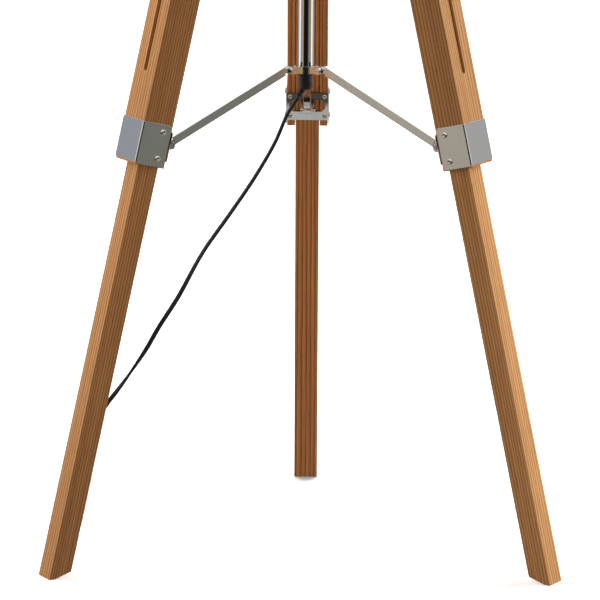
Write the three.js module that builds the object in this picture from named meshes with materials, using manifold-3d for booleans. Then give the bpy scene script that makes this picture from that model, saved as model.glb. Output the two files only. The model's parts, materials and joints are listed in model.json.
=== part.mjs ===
// Tripod floor lamp: three telescoping wooden legs hinged to a head, a column with a sliding collar
// and struts that hold the spread, a lamp holder with a drum shade, and a mains lead.
// Millimetres, +Z up.
import * as THREE from 'three';
import { mergeVertices } from 'three/addons/utils/BufferGeometryUtils.js';
import Module from 'manifold-3d';

const wasm = await Module();
wasm.setup();

// ---- Driving dimensions -------------------------------------------------------------------------

const LEGS = [
  { name: 'back', azimuth: 90 },
  { name: 'left', azimuth: 210 },
  { name: 'right', azimuth: 330 },
];

const GAP = 0.3; // between pieces that rest on each other
const RUNNING = 0.25; // round a pin in its bore, and round the column in its bushing

// Stance
const legTilt = THREE.MathUtils.degToRad(13.58); // from the vertical, legs spread
const headPinRadius = 46.15; // leg hinge axis from the column's axis
const legLength = 1030; // along the leg, from the floor to its hinge axis

// Wooden legs: the lower one slides in the channel of the upper one
const lowerWidth = 25;
const lowerDepth = 22.8;
const lowerTop = 735; // along the leg, from the floor
const footFlat = 6; // the part of the foot that rests on the floor
const footRise = 5.8; // the foot's inner edge above the floor
const slideGap = 0.6; // round the lower leg
const stripWidth = 8.3;
const stripProud = 1.6; // the strips stand past the lower leg's inner face
const panelThickness = 8;
const slotWidth = 6.5;
const slotLow = 522;
const slotHigh = 868;
const woodBelowPin = 22; // the wood stops this far below the hinge axis

// Bracket round the lower end of each upper leg
const sheet = 1.2;
const bracketCentre = 451.5; // along the leg, from the floor
const bracketHeight = 43;
const bracketBend = 1.8;
const bracketSetBack = 1.6; // its flanges stop short of the wood's inner face
const bracketOverhang = 1; // the wood ends this far below it
const bracketCorner = 3;

// Plate on the inner side of each upper leg, with the ears that hold a strut
const plateWidth = 44;
const plateHeight = 31;
const plateCorner = 2;
const windowHeight = 13.6;
const windowInner = 6.6;
const windowOuter = 19;
const windowRaise = 1;
const windowChamfer = 4;
const clevisRaise = 0.5; // the strut's hinge axis above the plate's middle
const standOff = 11; // the strut's hinge axis from the plate's face
const earFoot = 5.5; // half the ear's height where it leaves the plate

// Struts, collar and their pins
const strutWidth = 8.6;
const strutTop = 7.4; // above the line between its hinge axes
const strutBottom = -0.9;
const strutWall = 1;
const strutRelief = 8.4; // the side walls are cut back round the collar's ears
const strutStop = 5.5; // the channel ends this far short of the plate's ears' axis
const eyeRadius = 3.4;
const eyeHalf = 3.5;
const pinRadius = 1.5;
const pinHeadRadius = 2.6;
const pinHeadHeight = 1.4;
const earRadius = 3.6;
const earGap = 0.45; // between a strut and the ears beside it
const earThickness = 1.1;
const collarPinRadius = 18.1; // strut hinge axis from the column's axis
const collarPinHeight = 501; // with the collar down on its stop
const collarHeight = 7.6;
const collarWall = 1;

// Column and the cap at its lower end
const tubeRadius = 8.2;
const tubeWall = 1;
const tubeAboveHead = 84; // the tube's top above the legs' hinge axes
const bushingWall = 0.6;
const tabHeight = 4.5;
const tabWidth = 1.4;
const tabAzimuths = [58, 122, 238, 302];
const capFlangeRadius = 9.6;
const capFlange = 1.2;
const capRadius = 7;
const capLength = 15.2;
const spigotLength = 18;
const spigotBore = 3.6;
const capScrewRadius = 1.6;
const capScrewAzimuth = 305;
const capScrewAboveBottom = 5.4;

// Head
const headRadius = 30;
const headThickness = 10;
const headBossRadius = 14;
const headBossUp = 20;
const headBossDown = 12;
const headEarInner = 6.5;
const headEarThickness = 3.5;
const headLugRadius = 8;
const headPinSize = 3;
const headPinHead = 5.2;
const headPinHeadHeight = 2.4;
const tongueHalf = 6;
const blockHeight = 40;
const nutRadius = 16;
const nutHeight = 9;

// Leg locks
const boltRadius = 2.7;
const boltBelowTop = 38; // below the lower leg's top end
const boltHeadRadius = 7;
const boltHeadHeight = 1.5;
const boltReach = 12; // past the upper leg's outer face
const knobBase = 2;
const knobBaseRadius = 9;
const knobRadius = 13;
const knobLobe = 1; // the knob's lobes stand this far past its mean radius
const knobLobes = 8;
const knobHeight = 14;

// Lamp holder, bulb and shade
const holderHeight = 62;
const holderRadius = 19;
const holderNeck = 13;
const holderShoulder = 8;
const holderLedge = 46; // the shade's fitter rests here
const holderThread = 17;
const holderSeat = 10; // the tube's depth in the holder
const socketRadius = 13.9;
const socketDepth = 32;
const bulbCapRadius = 13.1;
const bulbCapHeight = 25;
const bulbHeight = 84;
const fitterRadius = 24;
const fitterThickness = 3;
const fitterArm = 5;
const fitterAzimuths = [30, 150, 270];
const ringNutRadius = 23;
const ringNutHeight = 6;
const wireRadius = 2;
const wireInset = 4; // the shade's rings from the edges of its drum
const shadeRadius = 210;
const shadeHeight = 250;
const shadeWall = 1.5;
const switchAboveBottom = 16;
const switchShaft = 2;
const switchShaftDepth = 5;
const switchKnobRadius = 6.5;
const switchKnobLength = 11;

// Mains lead, from the cap to a tied hank on the floor and a plug
const cordRadius = 2.5;
const glandEntry = [-2.8, -1]; // where it crosses the cap's lower face
const glandAim = [-0.5, -0.15, -0.85];
const glandInside = 12;
const glandOutside = 8;
const glandWide = 3.1;
const glandNarrow = 2.75;
const cordRoute = [
  [-18.7, -5, 454], [-30.3, -6, 426.4], [-51.8, -6, 388.3], [-77.1, -4, 349.7], [-104.7, -2, 309],
  [-130.4, 0, 260.9], [-150, 2, 229.1], [-163.9, 4, 204.1], [-182.4, 6, 175.8], [-195.6, 8, 157.1],
  [-205.1, 10, 144.3], [-219, 12.5, 119], [-231, 14, 92], [-240, 16, 67], [-247.5, 19.5, 43],
  [-253, 26, 23], [-256, 38, 9], [-257.2, 52, 4], [-257.3, 65.4, 3.1],
];
const hankNear = 66; // the hank's near end, along Y
const hankMiddle = -249.8; // its middle, along X
const hankWidth = 20;
const hankLength = 133;
const hankHeight = 33;
const tieWidth = 9;
const tieThickness = 0.8;
const tailLength = 48;
const tailSide = 7.5; // the tail leaves the hank this far to one side of its middle
const plugWidth = 22;
const plugThickness = 18;
const plugLength = 32;
const plugShoulder = 12; // the plug narrows over this length, towards its cord
const plugTaper = 6; // by this much on each side
const bladeSpacing = 12.7;
const bladeWidth = 6.3;
const bladeThickness = 1.5;
const bladeLength = 17;

// ---- Derived sizes ------------------------------------------------------------------------------

const sinTilt = Math.sin(legTilt);
const cosTilt = Math.cos(legTilt);
const headPinHeight = legLength * cosTilt;
const footRadius = headPinRadius + legLength * sinTilt;
const halfDepth = lowerDepth / 2;
const channelHalf = lowerWidth / 2 + slideGap;
const upperHalf = channelHalf + stripWidth;
const innerFace = -halfDepth - stripProud;
const panelInner = halfDepth + slideGap;
const outerFace = panelInner + panelThickness;
const bracketBottom = bracketCentre - bracketHeight / 2;
const upperBottom = bracketBottom - bracketOverhang;
const upperTop = legLength - woodBelowPin;
const boltAlong = lowerTop - boltBelowTop;
const plateFace = innerFace - GAP - sheet;
const clevisOut = plateFace - standOff;
const clevisAlong = bracketCentre + clevisRaise;
const earInner = strutWidth / 2 + earGap;
const earOuter = earInner + earThickness;
const pinBore = pinRadius + RUNNING;
const bushingInner = tubeRadius + RUNNING;
const bushingOuter = bushingInner + bushingWall;
const collarInner = bushingOuter + RUNNING;
const collarOuter = collarInner + collarWall;
const collarBottom = collarPinHeight - collarHeight / 2;
const tubeBottom = collarBottom;
const tubeTop = headPinHeight + tubeAboveHead;
const tubeSeat = tubeRadius + GAP;
const capTop = tubeBottom - GAP;
const capBottom = capTop - capFlange - capLength;
const headEarOuter = headEarInner + headEarThickness;
const holderBottom = tubeTop - holderSeat;
const socketFloor = holderBottom + holderHeight - socketDepth;
const fitterBottom = holderBottom + holderLedge + GAP;
const threadSeat = holderThread + GAP;
const shadeBottom = fitterBottom + fitterThickness / 2 - wireInset;
const shadeTop = shadeBottom + shadeHeight;
const wireRing = shadeRadius - shadeWall - GAP - wireRadius;
const footOuterRadius = footRadius + halfDepth / cosTilt;
const hankBottom = GAP + tieThickness + GAP;
const tailHeight = plugThickness / 2 + GAP;

// The strut's two hinge axes in the leg's upright plane
const clevisRadius = footRadius + clevisOut * cosTilt - clevisAlong * sinTilt;
const clevisHeight = clevisOut * sinTilt + clevisAlong * cosTilt;
const strutLength = Math.hypot(clevisRadius - collarPinRadius, collarPinHeight - clevisHeight);
const strutSlope = Math.atan2(collarPinHeight - clevisHeight, clevisRadius - collarPinRadius);

// ---- Finishes -----------------------------------------------------------------------------------

const WOOD = { color: 0xb9854f, roughness: 0.6, metalness: 0 };
const CHROME = { color: 0x9fa1a2, roughness: 0.12, metalness: 1 };
const BLACK = { color: 0x232326, roughness: 0.45, metalness: 0 };
const RUBBER = { color: 0x1c1c1f, roughness: 0.6, metalness: 0 };
const LINEN = { color: 0xe9e2d3, roughness: 0.9, metalness: 0 };
const OPAL = { color: 0xf4f2ec, roughness: 0.3, metalness: 0 };
const BRASS = { color: 0xb89a58, roughness: 0.3, metalness: 1 };

// ---- Solid helpers ------------------------------------------------------------------------------

// A closed, outward-facing solid for the set operations, whichever way the surface was wound.
function toSolid(geometry) {
  const bare = geometry.clone();
  bare.deleteAttribute('normal');
  bare.deleteAttribute('uv');
  const merged = mergeVertices(bare, 1e-4);
  const position = merged.attributes.position;
  const [a, b, c] = [new THREE.Vector3(), new THREE.Vector3(), new THREE.Vector3()];
  const faces = [];
  let volume = 0;
  for (let i = 0; i < merged.index.count; i += 3) {
    const corners = [0, 1, 2].map((k) => merged.index.getX(i + k));
    if (new Set(corners).size === 3) {
      [a, b, c].forEach((point, k) => point.fromBufferAttribute(position, corners[k]));
      volume += a.dot(b.cross(c));
      faces.push(corners);
    }
  }
  if (volume < 0) {
    faces.forEach((corners) => corners.reverse());
  }
  return new wasm.Manifold(new wasm.Mesh({
    numProp: 3,
    vertProperties: Float32Array.from(position.array),
    triVerts: Uint32Array.from(faces.flat()),
  }));
}

function toGeometry(solid) {
  const mesh = solid.getMesh();
  const geometry = new THREE.BufferGeometry();
  geometry.setAttribute('position', new THREE.BufferAttribute(mesh.vertProperties, 3));
  geometry.setIndex(new THREE.BufferAttribute(mesh.triVerts, 1));
  geometry.computeVertexNormals();
  return geometry;
}

function join(...pieces) {
  return toGeometry(pieces.map(toSolid).reduce((sum, piece) => sum.add(piece)));
}

function cut(base, ...tools) {
  return toGeometry(tools.map(toSolid).reduce((rest, tool) => rest.subtract(tool), toSolid(base)));
}

function common(one, other) {
  return toGeometry(toSolid(one).intersect(toSolid(other)));
}

// An outline drawn out from `from` to `to` along an axis. Outline coordinates are (Y, Z) for the X
// axis, (X, Z) for the Y axis and (X, Y) for the Z axis.
function drawn(axis, outline, from, to) {
  const geometry = new THREE.ExtrudeGeometry(outline, {
    depth: to - from, bevelEnabled: false, curveSegments: 4,
  });
  const x = new THREE.Vector3(1, 0, 0);
  const y = new THREE.Vector3(0, 1, 0);
  const z = new THREE.Vector3(0, 0, 1);
  if (axis === 'X') {
    return geometry.applyMatrix4(new THREE.Matrix4().makeBasis(y, z, x)).translate(from, 0, 0);
  }
  if (axis === 'Y') {
    return geometry.applyMatrix4(new THREE.Matrix4().makeBasis(x, z, y.negate())).translate(0, to, 0);
  }
  return geometry.translate(0, 0, from);
}

// The same, on one side of the middle plane: between distances `near` and `far` along Y.
function beside(side, outline, near, far) {
  return side > 0 ? drawn('Y', outline, near, far) : drawn('Y', outline, -far, -near);
}

function polygon(points) {
  return new THREE.Shape(points.map(([a, b]) => new THREE.Vector2(a, b)));
}

function rectangle([lowA, lowB], [highA, highB]) {
  return polygon([[lowA, lowB], [highA, lowB], [highA, highB], [lowA, highB]]);
}

function roundedRectangle([lowA, lowB], [highA, highB], radius) {
  const shape = new THREE.Shape();
  shape.absarc(highA - radius, lowB + radius, radius, -Math.PI / 2, 0);
  shape.absarc(highA - radius, highB - radius, radius, 0, Math.PI / 2);
  shape.absarc(lowA + radius, highB - radius, radius, Math.PI / 2, Math.PI);
  shape.absarc(lowA + radius, lowB + radius, radius, Math.PI, Math.PI * 1.5);
  return shape;
}

function circle(radius, [a, b] = [0, 0], sides = 20) {
  return polygon(Array.from({ length: sides }, (_, i) => {
    const turn = (2 * Math.PI * i) / sides;
    return [a + radius * Math.cos(turn), b + radius * Math.sin(turn)];
  }));
}

// Straight sides from `start` to a round end about `pin`.
function lug(start, pin, radius, half = radius) {
  const from = new THREE.Vector2(...start);
  const centre = new THREE.Vector2(...pin);
  const along = centre.clone().sub(from).normalize();
  const across = new THREE.Vector2(-along.y, along.x);
  const at = (origin, a, b) => origin.clone().addScaledVector(along, a).addScaledVector(across, b);
  const steps = 12;
  const end = Array.from({ length: steps + 1 }, (_, i) => {
    const turn = Math.PI * (i / steps - 0.5);
    return at(centre, radius * Math.cos(turn), radius * Math.sin(turn));
  });
  return new THREE.Shape([at(from, 0, -half), ...end, at(from, 0, half)]);
}

function box([x0, y0, z0], [x1, y1, z1]) {
  return drawn('Z', rectangle([x0, y0], [x1, y1]), z0, z1);
}

function bar(axis, radius, from, to, centre, sides) {
  return drawn(axis, circle(radius, centre, sides), from, to);
}

// A turned piece about Z. The [radius, height] profile starts and ends on the axis, or closes.
function turned(profile, segments = 40) {
  const points = profile.map(([radius, height]) => new THREE.Vector2(radius, height));
  return toGeometry(toSolid(new THREE.LatheGeometry(points, segments).rotateX(Math.PI / 2)));
}

function tube(inner, outer, from, to, segments) {
  return turned([[inner, from], [outer, from], [outer, to], [inner, to], [inner, from]], segments);
}

function wire(ringRadius, height) {
  const sides = 8;
  const profile = Array.from({ length: sides + 1 }, (_, i) => {
    const turn = (2 * Math.PI * (i % sides)) / sides;
    return [ringRadius + wireRadius * Math.cos(turn), height + wireRadius * Math.sin(turn)];
  });
  return turned(profile, 72);
}

function swept(points, radius, steps, sides = 10) {
  const path = new THREE.CatmullRomCurve3(points.map((point) => new THREE.Vector3(...point)));
  const geometry = new THREE.ExtrudeGeometry(circle(radius, [0, 0], sides), {
    steps, extrudePath: path,
  });
  return toGeometry(toSolid(geometry));
}

function spun(geometry, degrees) {
  return geometry.rotateZ(THREE.MathUtils.degToRad(degrees));
}

// ---- Assembly -----------------------------------------------------------------------------------

const group = new THREE.Group();
group.name = 'tripod_floor_lamp';
group.position.y = (shadeRadius - footOuterRadius) / 2;

function add(name, geometry, finish, parent = group) {
  const mesh = new THREE.Mesh(geometry, new THREE.MeshStandardMaterial(finish));
  mesh.name = name;
  parent.add(mesh);
}

function subframe(parent, { spin = 0, tilt = 0, at = [0, 0, 0] }) {
  const frame = new THREE.Group();
  frame.rotation.set(0, tilt, THREE.MathUtils.degToRad(spin));
  frame.position.set(...at);
  parent.add(frame);
  return frame;
}

// ---- Column, cap, collar ------------------------------------------------------------------------

function endCap(glandBore) {
  const flangeBottom = capTop - capFlange;
  const spigot = tubeRadius - tubeWall - GAP;
  const body = turned([
    [0, capBottom], [capRadius - 0.6, capBottom], [capRadius, capBottom + 0.6],
    [capRadius, flangeBottom], [capFlangeRadius, flangeBottom], [capFlangeRadius, capTop],
    [spigot, capTop], [spigot, capTop + spigotLength], [0, capTop + spigotLength],
  ]);
  const bore = bar('Z', spigotBore, capBottom + glandInside * 0.6, capTop + spigotLength + 1);
  const screwHole = spun(
    bar('X', capScrewRadius + GAP, capRadius - 1.5, capRadius + 1,
      [0, capBottom + capScrewAboveBottom], 16),
    capScrewAzimuth,
  );
  return cut(body, bore, glandBore, screwHole);
}

function collar() {
  const half = collarHeight / 2;
  const ring = tube(1, collarOuter, collarBottom, collarPinHeight + half);
  const pin = [collarPinRadius, collarPinHeight];
  const ears = LEGS.flatMap(({ azimuth }) => [-1, 1].map((side) => spun(
    beside(side, lug([5, collarPinHeight], pin, earRadius), earInner, earOuter), azimuth,
  )));
  const bores = LEGS.map(({ azimuth }) => spun(
    bar('Y', pinBore, -earOuter - 1, earOuter + 1, pin), azimuth,
  ));
  const middle = bar('Z', collarInner, collarBottom - 1, collarPinHeight + half + 1, [0, 0], 40);
  return cut(join(ring, ...ears), middle, ...bores);
}

function collarBushing() {
  const top = collarBottom + collarHeight;
  const ring = tube(bushingInner, bushingOuter, collarBottom, top);
  const tabs = tabAzimuths.map((azimuth) => spun(
    box([bushingInner - 1, -tabWidth / 2, top - 1], [bushingOuter + 1, tabWidth / 2, top + tabHeight]),
    azimuth,
  ));
  const sleeve = tube(bushingInner, bushingOuter, collarBottom, top + tabHeight);
  return join(ring, common(sleeve, join(...tabs)));
}

function headedPin(radius, headRadius, headHeight, half, centre) {
  return join(
    bar('Y', radius, -half - GAP - headHeight / 2, half + GAP + headHeight / 2, centre),
    bar('Y', headRadius, half + GAP, half + GAP + headHeight, centre),
    bar('Y', headRadius, -half - GAP - headHeight, -half - GAP, centre),
  );
}

const aim = new THREE.Vector3(...glandAim).normalize();
const glandStart = new THREE.Vector3(...glandEntry, capBottom).addScaledVector(aim, -glandInside);
const glandEnd = new THREE.Vector3(...glandEntry, capBottom).addScaledVector(aim, glandOutside);

// A round piece along the lead's way out of the cap.
function alongGland(wide, narrow, from, to) {
  const axis = new THREE.Vector3(0, 1, 0);
  const middle = glandStart.clone().addScaledVector(aim, (from + to) / 2);
  return new THREE.CylinderGeometry(narrow, wide, to - from, 20)
    .applyQuaternion(new THREE.Quaternion().setFromUnitVectors(axis, aim))
    .translate(...middle);
}

const glandLength = glandInside + glandOutside;
add('column_tube', tube(tubeRadius - tubeWall, tubeRadius, tubeBottom, tubeTop), CHROME);
add('end_cap', endCap(alongGland(glandWide + GAP, glandWide + GAP, -1, glandLength)), BLACK);
add('cord_gland', toGeometry(toSolid(alongGland(glandWide, glandNarrow, 0, glandLength))), RUBBER);
add('cap_screw', spun(
  bar('X', capScrewRadius, capRadius - 1.5 + GAP, capRadius + 0.9,
    [0, capBottom + capScrewAboveBottom], 16),
  capScrewAzimuth,
), BLACK);
add('collar', collar(), CHROME);
add('collar_bushing', collarBushing(), BLACK);

// ---- Head ---------------------------------------------------------------------------------------

function headHub() {
  const half = headThickness / 2;
  const disc = turned([
    [tubeSeat, -headBossDown], [headBossRadius, -headBossDown], [headBossRadius, -half],
    [headRadius - 2, -half], [headRadius, 2 - half], [headRadius, half - 2], [headRadius - 2, half],
    [headBossRadius, half], [headBossRadius, headBossUp], [tubeSeat, headBossUp],
    [tubeSeat, -headBossDown],
  ], 48);
  const ears = LEGS.flatMap(({ azimuth }) => [-1, 1].map((side) => spun(
    beside(side, lug([22, 0], [headPinRadius, 0], headLugRadius, half), headEarInner, headEarOuter),
    azimuth,
  )));
  const bores = LEGS.map(({ azimuth }) => spun(
    bar('Y', headPinSize + GAP, -headEarOuter - 1, headEarOuter + 1, [headPinRadius, 0]), azimuth,
  ));
  return cut(join(disc, ...ears), ...bores).translate(0, 0, headPinHeight);
}

const nutBottom = headPinHeight + headBossUp + GAP;
add('head_hub', headHub(), CHROME);
add('column_nut', cut(
  bar('Z', nutRadius, nutBottom, nutBottom + nutHeight, [0, 0], 6),
  bar('Z', tubeSeat, nutBottom - 1, nutBottom + nutHeight + 1, [0, 0], 40),
), CHROME);

// ---- Lamp holder, bulb and shade ----------------------------------------------------------------

function lampHolder() {
  const shell = turned([
    [tubeSeat, 0], [holderNeck, 0], [holderRadius, holderShoulder], [holderRadius, holderLedge],
    [holderThread, holderLedge], [holderThread, holderHeight], [socketRadius, holderHeight],
    [socketRadius, holderHeight - socketDepth], [4, holderHeight - socketDepth],
    [4, holderSeat + GAP], [tubeSeat, holderSeat + GAP], [tubeSeat, 0],
  ]);
  const shaftHole = bar('Y', switchShaft + GAP, -holderRadius - 1,
    -holderRadius + switchShaftDepth + GAP, [0, switchAboveBottom]);
  return cut(shell, shaftHole).translate(0, 0, holderBottom);
}

function bulbGlobe(bottom) {
  const outline = new THREE.SplineCurve([
    [12.6, 0], [12.8, 7], [14.6, 14], [20, 24], [27.4, 38], [30, 53], [27.6, 67], [20, 78], [9, 83.2],
  ].map(([radius, height]) => new THREE.Vector2(radius, height)));
  const side = outline.getPoints(22).map((point) => [point.x, point.y]);
  return turned([[0, 0], ...side, [0, bulbHeight]]).translate(0, 0, bottom);
}

function shadeSpider() {
  const middle = fitterBottom + fitterThickness / 2;
  const hub = tube(threadSeat, fitterRadius, fitterBottom, fitterBottom + fitterThickness);
  const arms = fitterAzimuths.map((azimuth) => spun(
    box([fitterRadius - 2, -fitterArm / 2, fitterBottom],
      [wireRing, fitterArm / 2, fitterBottom + fitterThickness]),
    azimuth,
  ));
  return join(hub, ...arms, wire(wireRing, middle));
}

function switchKnob() {
  const face = -holderRadius - GAP;
  return join(
    bar('Y', switchShaft, face - 2, -holderRadius + switchShaftDepth, [0, 0]),
    bar('Y', switchKnobRadius, face - switchKnobLength, face, [0, 0], 28),
  ).translate(0, 0, holderBottom + switchAboveBottom);
}

const ringNutBottom = fitterBottom + fitterThickness + GAP;
add('lamp_holder', lampHolder(), BLACK);
add('switch_knob', switchKnob(), BLACK);
add('bulb_cap', turned([
  [0, 0], [5, 0], [bulbCapRadius, 6], [bulbCapRadius, bulbCapHeight], [0, bulbCapHeight],
]).translate(0, 0, socketFloor + GAP), BRASS);
add('bulb_globe', bulbGlobe(socketFloor + GAP + bulbCapHeight + GAP), OPAL);
add('shade_spider', shadeSpider(), CHROME);
add('shade_ring_nut', tube(threadSeat, ringNutRadius, ringNutBottom, ringNutBottom + ringNutHeight),
  BLACK);
add('shade_drum', tube(shadeRadius - shadeWall, shadeRadius, shadeBottom, shadeTop, 72), LINEN);
add('shade_top_wire', wire(wireRing, shadeTop - wireInset), CHROME);

// ---- Legs, struts and locks ---------------------------------------------------------------------
// In a leg's own frame X points out of its face, Y runs across it and Z runs up along it.

function lowerLeg() {
  const onFloor = (n) => [n, -n * Math.tan(legTilt)];
  const profile = polygon([
    onFloor(halfDepth), [halfDepth, lowerTop], [-halfDepth, lowerTop],
    [-halfDepth, (footRise + halfDepth * sinTilt) / cosTilt],
    onFloor(halfDepth - footFlat * cosTilt),
  ]);
  const bore = bar('X', boltRadius + GAP, -halfDepth - 1, halfDepth + 1, [0, boltAlong]);
  return cut(drawn('Y', profile, -lowerWidth / 2, lowerWidth / 2), bore);
}

function upperLeg() {
  const channel = cut(
    box([innerFace, -upperHalf, upperBottom], [outerFace, upperHalf, upperTop]),
    box([innerFace - 1, -channelHalf, upperBottom - 1], [panelInner, channelHalf, upperTop + 1]),
  );
  const end = slotWidth / 2;
  const slot = roundedRectangle([-end, slotLow], [end, slotHigh], end - 0.01);
  return cut(channel, drawn('X', slot, panelInner - 1, outerFace + 1));
}

function hingeBlock() {
  const block = box(
    [innerFace + GAP, -channelHalf + GAP, upperTop - blockHeight],
    [panelInner - GAP, channelHalf - GAP, upperTop],
  );
  const tongue = lug([0, upperTop - 4], [0, legLength], headLugRadius);
  const bore = bar('Y', headPinSize + RUNNING, -tongueHalf - 1, tongueHalf + 1, [0, legLength]);
  return cut(join(block, drawn('Y', tongue, -tongueHalf, tongueHalf)), bore);
}

function legBracket() {
  const top = bracketBottom + bracketHeight;
  const open = innerFace + bracketSetBack;
  const back = outerFace + GAP;
  const side = upperHalf + GAP;
  const outer = roundedRectangle([open - 9, -side - sheet], [back + sheet, side + sheet], bracketBend);
  const inner = roundedRectangle([open - 12, -side], [back, side], bracketBend - sheet);
  const folded = cut(
    drawn('Z', outer, bracketBottom, top), drawn('Z', inner, bracketBottom - 1, top + 1),
  );
  const corner = Array.from({ length: 7 }, (_, i) => {
    const turn = (Math.PI / 2) * (1 + i / 6);
    return [
      open + bracketCorner * (1 + Math.cos(turn)), top - bracketCorner * (1 - Math.sin(turn)),
    ];
  });
  const profile = polygon([
    ...corner, [open, bracketBottom + 1], [open + 1, bracketBottom],
    [back - 1, bracketBottom], [back + sheet, bracketBottom + 2], [back + sheet, top],
  ]);
  return common(folded, drawn('Y', profile, -side - 2 * sheet, side + 2 * sheet));
}

function strutPlate() {
  const half = plateHeight / 2;
  const blank = roundedRectangle(
    [-plateWidth / 2, bracketCentre - half], [plateWidth / 2, bracketCentre + half], plateCorner,
  );
  const low = bracketCentre + windowRaise - windowHeight / 2;
  const high = low + windowHeight;
  const windows = [-1, 1].map((side) => drawn('X', polygon([
    [side * windowInner, low], [side * (windowOuter - windowChamfer), low],
    [side * windowOuter, low + windowChamfer], [side * windowOuter, high - windowChamfer],
    [side * (windowOuter - windowChamfer), high], [side * windowInner, high],
  ]), plateFace - 1, plateFace + sheet + 1));
  const centre = [clevisOut, clevisAlong];
  const ears = [-1, 1].map((side) => beside(
    side, lug([plateFace + sheet / 2, clevisAlong], centre, eyeRadius, earFoot), earInner, earOuter,
  ));
  const nutHalf = pinHeadRadius * 0.85;
  return join(
    cut(drawn('X', blank, plateFace, plateFace + sheet), ...windows),
    ...ears,
    bar('Y', pinHeadRadius, earOuter - 0.3, earOuter + pinHeadHeight, centre),
    beside(-1, rectangle(
      [clevisOut - nutHalf, clevisAlong - nutHalf], [clevisOut + nutHalf, clevisAlong + nutHalf],
    ), earOuter - 0.3, earOuter + pinHeadHeight + 0.4),
    beside(-1, circle(pinRadius - 0.1, centre), earOuter, earOuter + pinHeadHeight + 1.4),
  );
}

function lockBolt() {
  const head = -halfDepth - GAP - boltHeadHeight;
  return join(
    bar('X', boltRadius, head, outerFace + boltReach, [0, boltAlong]),
    bar('X', boltHeadRadius, head, head + boltHeadHeight, [0, boltAlong], 28),
  );
}

function lockKnob() {
  const outline = polygon(Array.from({ length: 64 }, (_, i) => {
    const turn = (2 * Math.PI * i) / 64;
    const radius = knobRadius + knobLobe * Math.cos(knobLobes * turn);
    return [radius * Math.cos(turn), boltAlong + radius * Math.sin(turn)];
  }));
  const face = outerFace + GAP;
  return cut(
    join(
      bar('X', knobBaseRadius, face, face + knobBase + 1, [0, boltAlong], 28),
      drawn('X', outline, face + knobBase, face + knobBase + knobHeight),
    ),
    bar('X', boltRadius + RUNNING, face - 1, outerFace + boltReach + GAP, [0, boltAlong]),
  );
}

// In the strut's frame X runs from the collar's pin to the plate's ears.
function strut() {
  const half = strutWidth / 2;
  const channelEnd = strutLength - strutStop;
  const channel = cut(
    box([0, -half, strutBottom], [channelEnd, half, strutTop]),
    box([-1, -half + strutWall, strutBottom - 1],
      [channelEnd + 1, half - strutWall, strutTop - strutWall]),
    bar('Y', strutRelief, -half - 1, half + 1, [0, 0], 32),
  );
  const tongue = lug([strutRelief + 3, strutTop - 2], [0, 0], eyeRadius, 1.6);
  const eye = lug([channelEnd - 4, strutTop - 3.4], [strutLength, 0], eyeRadius, 3);
  return cut(
    join(
      channel, drawn('Y', tongue, -eyeHalf, eyeHalf), drawn('Y', eye, -eyeHalf, eyeHalf),
    ),
    bar('Y', pinBore, -half - 1, half + 1, [0, 0]),
    bar('Y', pinBore, -half - 1, half + 1, [strutLength, 0]),
  );
}

LEGS.forEach(({ name, azimuth }) => {
  const plane = subframe(group, { spin: azimuth });
  const leg = subframe(plane, { tilt: -legTilt, at: [footRadius, 0, 0] });
  const arm = subframe(plane, { tilt: strutSlope, at: [collarPinRadius, 0, collarPinHeight] });
  add(`head_pin_${name}`, headedPin(
    headPinSize, headPinHead, headPinHeadHeight, headEarOuter, [headPinRadius, headPinHeight],
  ), CHROME, plane);
  add(`collar_pin_${name}`, headedPin(
    pinRadius, pinHeadRadius, pinHeadHeight, earOuter, [collarPinRadius, collarPinHeight],
  ), CHROME, plane);
  add(`upper_leg_${name}`, upperLeg(), WOOD, leg);
  add(`leg_hinge_block_${name}`, hingeBlock(), CHROME, leg);
  add(`leg_bracket_${name}`, legBracket(), CHROME, leg);
  add(`strut_plate_${name}`, strutPlate(), CHROME, leg);
  add(`lower_leg_${name}`, lowerLeg(), WOOD, leg);
  add(`lock_bolt_${name}`, lockBolt(), CHROME, leg);
  add(`lock_knob_${name}`, lockKnob(), BLACK, leg);
  add(`strut_${name}`, strut(), CHROME, arm);
  add(`strut_axle_${name}`, bar(
    'Y', pinRadius, -earInner + GAP, earInner - GAP, [strutLength, 0],
  ), CHROME, arm);
});

// ---- Mains lead ---------------------------------------------------------------------------------

const leadStart = glandEnd.clone().addScaledVector(aim, GAP);
const leadStraight = glandEnd.clone().addScaledVector(aim, glandOutside);
add('cord_lead', swept([[...leadStart], [...leadStraight], ...cordRoute], cordRadius, 56), RUBBER);

function hank() {
  const outline = roundedRectangle(
    [hankNear, hankBottom], [hankNear + hankLength, hankBottom + hankHeight], hankHeight / 2 - 0.01,
  );
  return drawn('X', outline, hankMiddle - hankWidth / 2, hankMiddle + hankWidth / 2);
}

function hankTie() {
  const half = hankWidth / 2 + GAP;
  const y = hankNear + hankLength / 2;
  const outer = roundedRectangle(
    [hankMiddle - half - tieThickness, hankBottom - GAP - tieThickness],
    [hankMiddle + half + tieThickness, hankBottom + hankHeight + GAP + tieThickness], 2,
  );
  const inner = roundedRectangle(
    [hankMiddle - half, hankBottom - GAP],
    [hankMiddle + half, hankBottom + hankHeight + GAP], 1,
  );
  return cut(
    drawn('Y', outer, y - tieWidth / 2, y + tieWidth / 2),
    drawn('Y', inner, y - tieWidth, y + tieWidth),
  );
}

const tailStart = hankNear + hankLength + GAP;
const tailEnd = tailStart + tailLength;
const plugStart = tailEnd + GAP;

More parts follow.
